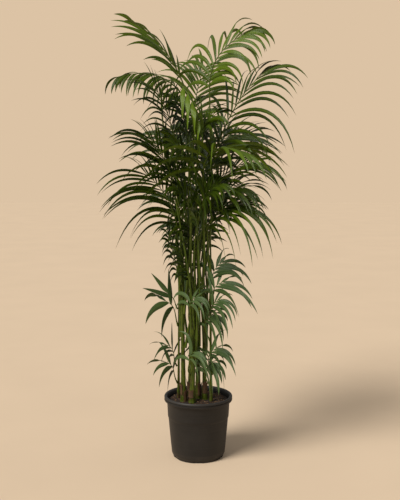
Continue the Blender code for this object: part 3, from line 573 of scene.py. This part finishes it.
def make_frond(name):
    """The frond's leaflets and stalk as one piece."""
    middles, radii, leaflets = read[name]
    draw = random.Random(name)
    blades = make_blades(name + "_blades", leaflets, draw)
    stalk = make_stalk(name + "_stalk", middles, radii)
    young = "young" in name
    blades.data.materials.append(YOUNG_LEAF if young else GROWN_LEAF)
    stalk.data.materials.clear()
    stalk.data.materials.append(STALK)
    bpy.ops.object.select_all(action="DESELECT")
    stalk.select_set(True)
    blades.select_set(True)
    bpy.context.view_layer.objects.active = blades
    bpy.ops.object.join()
    only(blades)
    bpy.ops.object.shade_smooth_by_angle(angle=math.radians(50))
    finish_piece(blades, name.replace("frond_", "leaf_"), "young_frond" if young else "frond", name)
    return blades


for name in FRONDS:
    make_frond(name)
print("fronds made:", len(FRONDS))


# %% [markdown]
# ## Turned pieces
# The pot and the canes are both round, so both are made as on a lathe: a circle of edges is extruded
# step by step, and each new ring is moved up and resized. `turn_up` takes the rings as (radius, height)
# and keeps the circle's centre where the last argument says, so a leaning cane can be made with it too.

# %% Turn a profile
def turn_up(rings, sides, centre=lambda height: (0.0, 0.0)):
    """A closed round solid from rings of (radius, height), listed from the lower end to the upper."""
    radius, height = rings[0]
    x, y = centre(height)
    bpy.ops.object.select_all(action="DESELECT")
    bpy.ops.mesh.primitive_circle_add(vertices=sides, radius=radius, fill_type="NGON",
                                      location=(x, y, height))
    piece = bpy.context.object
    bpy.ops.object.transform_apply(location=True)
    bpy.ops.object.mode_set(mode="EDIT")
    bpy.ops.mesh.select_all(action="SELECT")
    for new_radius, new_height in rings[1:]:
        next_x, next_y = centre(new_height)
        bpy.ops.mesh.extrude_region_move(
            TRANSFORM_OT_translate={"value": (next_x - x, next_y - y, new_height - height)})
        bpy.ops.transform.resize(value=(new_radius / radius,) * 2 + (1,),
                                 center_override=(next_x, next_y, new_height))
        radius, height, x, y = new_radius, new_height, next_x, next_y
    bpy.ops.mesh.select_all(action="SELECT")
    bpy.ops.mesh.normals_make_consistent(inside=False)
    bpy.ops.object.mode_set(mode="OBJECT")
    return piece


# %% [markdown]
# ## Pot
# A moulded pot has a foot ring, a rounded heel, a straight tapered wall with a faint shoulder where
# stacked pots rest, and a heavy rim of two beads. The wall is carried up outside, over the rim and down the
# inside as one profile, so it has its real thickness. The notches under the foot let water run out:
# faces at the foot are picked by their place and pushed in.

# %% Pot
RIM, _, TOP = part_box("pot")[1]
FOOT, HEEL, NECK = 0.104, 0.110, 0.1285
WALL = 0.003
RIM_UNDER = TOP - 0.021
profile = [
    (FOOT - 0.004, 0.0), (FOOT - 0.001, 0.0006), (FOOT, 0.003), (FOOT + 0.0008, 0.0095),
    (FOOT + 0.0030, 0.0118), (HEEL - 0.0016, 0.0140), (HEEL - 0.0003, 0.0175), (HEEL, 0.0205),
    (HEEL + 0.0040, 0.060), (HEEL + 0.0085, 0.110), (HEEL + 0.0132, 0.164), (HEEL + 0.0135, 0.1655),
    (HEEL + 0.0152, 0.1675), (HEEL + 0.0158, 0.176), (NECK, RIM_UNDER - 0.002), (NECK + 0.0008, RIM_UNDER),
    (RIM - 0.0035, RIM_UNDER - 0.0002), (RIM - 0.0012, RIM_UNDER + 0.0008), (RIM, RIM_UNDER + 0.0035),
    (RIM - 0.0004, TOP - 0.0125), (RIM - 0.0030, TOP - 0.0112), (RIM - 0.0030, TOP - 0.0100),
    (RIM - 0.0003, TOP - 0.0085), (RIM, TOP - 0.0055), (RIM - 0.0014, TOP - 0.0018), (RIM - 0.0040, TOP),
    (NECK + 0.0045, TOP - 0.0004), (NECK + 0.0012, TOP - 0.0022), (NECK - 0.0012, TOP - 0.0060),
    (NECK - WALL, RIM_UNDER), (HEEL - WALL, 0.018), (FOOT - WALL, 0.005), (0.020, 0.004),
]
POT_SIDES = 120
pot = turn_up(profile, POT_SIDES)
only(pot)
bpy.ops.object.mode_set(mode="EDIT")
bpy.ops.mesh.select_all(action="DESELECT")
shape = bmesh.from_edit_mesh(pot.data)
NOTCHES, NOTCH_HALF_ANGLE, NOTCH_DEPTH, NOTCH_TOP = 6, math.radians(8), 0.005, 0.009
for face in shape.faces:
    middle = face.calc_center_median()
    turn = (math.atan2(middle.y, middle.x) + math.pi / 2) % (math.tau / NOTCHES)
    in_notch = min(turn, math.tau / NOTCHES - turn) < NOTCH_HALF_ANGLE
    outside = FOOT - 0.003 < math.hypot(middle.x, middle.y) < FOOT + 0.001
    face.select_set(in_notch and outside and 0.0002 < middle.z < NOTCH_TOP)
bmesh.update_edit_mesh(pot.data)
bpy.ops.mesh.extrude_region_shrink_fatten(TRANSFORM_OT_shrink_fatten={"value": -NOTCH_DEPTH})
bpy.ops.object.mode_set(mode="OBJECT")
only(pot)
bpy.ops.object.shade_smooth_by_angle(angle=math.radians(38))
pot.data.materials.append(POT)
finish_piece(pot, "nursery_pot", "pot", "pot")
print("pot", round(RIM * 2000), "mm across the rim,", round(TOP * 1000), "mm tall")

# %% [markdown]
# ## Canes
# A cane is jointed: a slightly sunken scar goes round it wherever a leaf once sat, closer together near
# the soil. Its foot swells where the roots start. The frame's cane gives the width at each height, so
# the turned one keeps to it and adds the scars.

# %% Canes
CANE_SIDES = 20
LEAST_GAP, MORE_GAP, GAP_DRAW = 0.016, 0.05, 0.006  # between scars: at the foot, added by the top, by chance


def cane_line(name):
    """Middle and radius of the frame's cane at each of its rings."""
    places, _ = merged(name)
    heights = np.unique(np.round(places[:, 2], 4))
    rows = [places[np.abs(places[:, 2] - height) < 0.001] for height in heights]
    return [(row.mean(axis=0), np.linalg.norm(row - row.mean(axis=0), axis=1).mean()) for row in rows]


def make_cane(name):
    """Turns the cane; gives its middle and its radius at any height, and its own random draws."""
    line = cane_line(name)
    heights = [middle[2] for middle, _ in line]
    draw = random.Random(name)

    def at(height, values):
        return float(np.interp(height, heights, values))

    def centre(height):
        return at(height, [m[0] for m, _ in line]), at(height, [m[1] for m, _ in line])

    rings, height, top = [], heights[0], heights[-2]
    while height < top - 0.02:
        gap = LEAST_GAP + MORE_GAP * (height - heights[0]) / (top - heights[0])
        gap = min(gap + draw.uniform(0, GAP_DRAW), top - height)
        radius = at(height, [r for _, r in line])
        after = at(height + gap, [r for _, r in line])
        rings += [(radius, height), (radius * 0.94, height + 0.0012), (radius * 0.95, height + 0.0028),
                  (after * 0.97, height + gap * 0.55), (after * 1.01, height + gap - 0.0012)]
        height += gap
    last = rings[-1][0]
    rings += [(last * 0.85, top), (last * 0.45, (top + heights[-1]) / 2), (last * 0.08, heights[-1])]
    cane = turn_up(rings, CANE_SIDES, centre)
    only(cane)
    bpy.ops.object.shade_smooth_by_angle(angle=math.radians(60))
    cane.data.materials.append(CANE)
    finish_piece(cane, name + "_stem", "cane", name)
    return centre, lambda height: at(height, [r for _, r in line]), draw


canes = {name: make_cane(name) for name in CANES}
print("canes made:", ", ".join(canes))

# %% [markdown]
# ## Soil
# The frame's soil is a plain plug that fills the pot, and it stays. Over it lies the surface that shows:
# a lumpy crust, a little higher in the middle, and a scatter of bark chips. The crust is a disc, inset
# ring by ring, with its points lifted by noise; a chip is a cube, bevelled and squeezed, copied many times.

# %% Soil
soil_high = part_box("potting_soil")[1]
SOIL_TOP, SOIL_RADIUS = soil_high[2], soil_high[0] - 0.0005
SOIL_SIDES, SOIL_RINGS, CRUST_THICKNESS = 96, 26, 0.0012
NODES["potting_soil"].data.materials.clear()
NODES["potting_soil"].data.materials.append(SOIL)


def soil_height(x, y):
    """Height of the lumpy surface."""
    out = math.hypot(x, y) / SOIL_RADIUS
    lumps = noise.fractal(Vector((x, y, 0.3)) * 55, 0.7, 2.1, 4)
    return SOIL_TOP + 0.0022 + 0.004 * (1 - out * out) + 0.0028 * lumps


bpy.ops.object.select_all(action="DESELECT")
bpy.ops.mesh.primitive_circle_add(vertices=SOIL_SIDES, radius=SOIL_RADIUS, fill_type="NGON",
                                  location=(0, 0, SOIL_TOP + 0.0002))
crust = bpy.context.object
bpy.ops.object.transform_apply(location=True)
bpy.ops.object.mode_set(mode="EDIT")
bpy.ops.mesh.select_all(action="SELECT")
for _ in range(SOIL_RINGS):
    bpy.ops.mesh.inset(thickness=SOIL_RADIUS / (SOIL_RINGS + 1))
bpy.ops.object.mode_set(mode="OBJECT")
for vertex in crust.data.vertices:
    x, y, _ = vertex.co
    if math.hypot(x, y) < SOIL_RADIUS * 0.995:
        vertex.co.z = max(SOIL_TOP + 0.0004, soil_height(x, y))
only(crust)
bpy.ops.object.mode_set(mode="EDIT")
bpy.ops.mesh.select_all(action="SELECT")
bpy.ops.mesh.normals_make_consistent(inside=False)
bpy.ops.object.mode_set(mode="OBJECT")
under = crust.modifiers.new("underside", "SOLIDIFY")
under.thickness = CRUST_THICKNESS
under.offset = -1
apply_all(crust)
crust.data.materials.append(SOIL)
finish_piece(crust, "soil_crust", "soil")
print("soil crust at", round(SOIL_TOP, 3))

# %% Bark chips
CHIPS = 420
CHIP_LENGTH, CHIP_WIDTH, CHIP_HEIGHT = (0.004, 0.012), (0.002, 0.006), (0.0012, 0.0035)
CHIP_ROUGHNESS = 0.25
CHIP_TILT = 0.35
CANE_CLEARANCE = 0.004
bpy.ops.object.select_all(action="DESELECT")
bpy.ops.mesh.primitive_cube_add(size=1)
chip = bpy.context.object
bpy.ops.object.mode_set(mode="EDIT")
bpy.ops.mesh.bevel(offset=0.16, segments=1)
bpy.ops.object.mode_set(mode="OBJECT")
CHIP_POINTS = np.array([vertex.co for vertex in chip.data.vertices])
CHIP_FACES = [tuple(face.vertices) for face in chip.data.polygons]
bpy.data.objects.remove(chip, do_unlink=True)


def scatter_chips():
    """Chips lying about on the soil, clear of the canes."""
    draw = random.Random("bark")
    points, faces = [], []
    while len(faces) < CHIPS * len(CHIP_FACES):
        out, turn = SOIL_RADIUS * 0.93 * math.sqrt(draw.random()), draw.uniform(0, math.tau)
        x, y = out * math.cos(turn), out * math.sin(turn)
        if any(math.dist((x, y), centre(SOIL_TOP)) < radius(SOIL_TOP) + CANE_CLEARANCE
               for centre, radius, _ in canes.values()):
            continue
        size = np.array([draw.uniform(*reach) for reach in (CHIP_LENGTH, CHIP_WIDTH, CHIP_HEIGHT)])
        spin, tip = draw.uniform(0, math.tau), draw.uniform(-CHIP_TILT, CHIP_TILT)
        rough = 1 + CHIP_ROUGHNESS * np.array([[draw.uniform(-1, 1) for _ in range(3)] for _ in CHIP_POINTS])
        local = CHIP_POINTS * rough * size
        local = np.stack([local[:, 0] * math.cos(tip) - local[:, 2] * math.sin(tip), local[:, 1],
                          local[:, 0] * math.sin(tip) + local[:, 2] * math.cos(tip)], 1)
        local = np.stack([local[:, 0] * math.cos(spin) - local[:, 1] * math.sin(spin),
                          local[:, 0] * math.sin(spin) + local[:, 1] * math.cos(spin), local[:, 2]], 1)
        start = len(points)
        points += (local + [x, y, soil_height(x, y) + size[2] * 0.3]).tolist()
        faces += [tuple(start + k for k in face) for face in CHIP_FACES]
    return points, faces


mesh = bpy.data.meshes.new("bark_chips")
points, faces = scatter_chips()
mesh.from_pydata(points, [], faces)
chips = bpy.data.objects.new("bark_chips", mesh)
bpy.context.scene.collection.objects.link(chips)
chips.data.materials.append(BARK)
finish_piece(chips, "bark_chips", "soil")
print("bark chips:", CHIPS)

# %% [markdown]
# ## Dry sheaths
# Round the foot of each cane cling the dry bases of leaves that dropped long ago: papery brown strips
# that flare a little at the top. Each starts as a tube with most of its faces taken out. Its points are
# then set round the cane, its upper edge torn by noise, and it is given thickness.

# %% Dry sheaths
SHEATH_OPEN = 2.1  # half of the gap, in radians
SHEATH_CLEARANCE, SHEATH_FLARE, SHEATH_THICKNESS = 0.0012, 0.0035, 0.0007
SHEATH_HEIGHT = (0.025, 0.055)
SHEATHS_PER_CANE = 2
TEAR = 0.35


def make_sheath(name, centre, radius, low_end, high_end, opening, draw, number):
    bpy.ops.object.select_all(action="DESELECT")
    bpy.ops.mesh.primitive_cylinder_add(vertices=20, radius=1, depth=1, end_fill_type="NOTHING")
    sheath = bpy.context.object
    bpy.ops.object.mode_set(mode="EDIT")
    bpy.ops.mesh.select_all(action="SELECT")
    bpy.ops.mesh.subdivide(number_cuts=2)
    bpy.ops.mesh.select_all(action="DESELECT")
    shape = bmesh.from_edit_mesh(sheath.data)
    for face in shape.faces:
        turn = math.atan2(face.calc_center_median().y, face.calc_center_median().x)
        face.select_set(abs((turn - opening + math.pi) % math.tau - math.pi) < SHEATH_OPEN)
    bmesh.update_edit_mesh(sheath.data)
    bpy.ops.mesh.delete(type="FACE")
    bpy.ops.object.mode_set(mode="OBJECT")
    for vertex in sheath.data.vertices:
        turn = math.atan2(vertex.co.y, vertex.co.x)
        share = vertex.co.z + 0.5
        tear = TEAR * noise.noise(Vector((math.cos(turn) * 3, math.sin(turn) * 3, number)))
        height = low_end + (high_end - low_end) * share * (1 + tear * share)
        x, y = centre(height)
        out = radius(height) + SHEATH_CLEARANCE + SHEATH_FLARE * share**3
        vertex.co = (x + out * math.cos(turn), y + out * math.sin(turn), height)
    thick = sheath.modifiers.new("thickness", "SOLIDIFY")
    thick.thickness = SHEATH_THICKNESS
    thick.offset = 1
    apply_all(sheath)
    bpy.ops.object.shade_smooth_by_angle(angle=math.radians(50))
    sheath.data.materials.append(SHEATH)
    finish_piece(sheath, f"sheath_{name[5:]}_{number}", "cane")


for name, (centre, radius, draw) in canes.items():
    if "young" in name:
        continue
    start = SOIL_TOP + 0.001
    for number in range(SHEATHS_PER_CANE):
        reach = draw.uniform(*SHEATH_HEIGHT)
        make_sheath(name, centre, radius, start, start + reach, draw.uniform(0, math.tau), draw, number)
        start += reach * 0.7
print("dry sheaths round the grown canes")

# %% [markdown]
# ## Floor and light
# A wide pale floor carries the shadow. One soft key light comes from high at the front left, and the
# world gives the rest. Together they light a level surface about as brightly as it is coloured, so a
# colour renders as it is written. Seen directly, the world is the same pale cream as the floor.

# %% Floor
FLOOR_COLOUR = (0.737, 0.581, 0.421)
FLOOR_SIZE = 40
bpy.ops.object.select_all(action="DESELECT")
bpy.ops.mesh.primitive_plane_add(size=FLOOR_SIZE, location=(0, 0, 0))
floor = bpy.context.object
floor.name = "floor"
floor_finish, tree, shader = material("pale floor", 0.9)
where = add(tree, "TexCoord").outputs["Object"]
mottle = add(tree, "TexNoise", Vector=where, Scale=2.0, Detail=4.0).outputs["Fac"]
tree.links.new(ramp(tree, mottle, (0.3, FLOOR_COLOUR), (0.7, tuple(c * 1.04 for c in FLOOR_COLOUR))),
               shader.inputs["Base Color"])
shader.inputs["Specular IOR Level"].default_value = 0.1
floor.data.materials.append(floor_finish)

# %% Key light and world
KEY_FROM = (-2.6, -2.4, 3.4)
KEY_STRENGTH, WORLD_STRENGTH = 2.95, 0.33
BACKDROP_COLOUR = (0.716, 0.546, 0.376)  # how the floor looks under these lights
key_data = bpy.data.lights.new("key", "SUN")
key_data.energy = KEY_STRENGTH
key_data.angle = math.radians(28)
key_data.color = (1.0, 0.96, 0.90)
key = bpy.data.objects.new("key", key_data)
bpy.context.scene.collection.objects.link(key)
key.location = KEY_FROM
key.rotation_euler = Vector(KEY_FROM).to_track_quat("Z", "Y").to_euler()
world = bpy.data.worlds.new("studio")
bpy.context.scene.world = world
world.use_nodes = True
tree = world.node_tree
tree.nodes["Background"].inputs["Color"].default_value = (1.0, 0.96, 0.91, 1)
tree.nodes["Background"].inputs["Strength"].default_value = WORLD_STRENGTH
seen = add(tree, "Background", Color=(*BACKDROP_COLOUR, 1), Strength=1.0)
ray = tree.nodes.new("ShaderNodeLightPath")
either = tree.nodes.new("ShaderNodeMixShader")
tree.links.new(ray.outputs["Is Camera Ray"], either.inputs[0])
tree.links.new(tree.nodes["Background"].outputs[0], either.inputs[1])
tree.links.new(seen.outputs[0], either.inputs[2])
tree.links.new(either.outputs[0], tree.nodes["World Output"].inputs["Surface"])
bpy.context.scene.view_settings.view_transform = "Standard"
print("key light and world set")
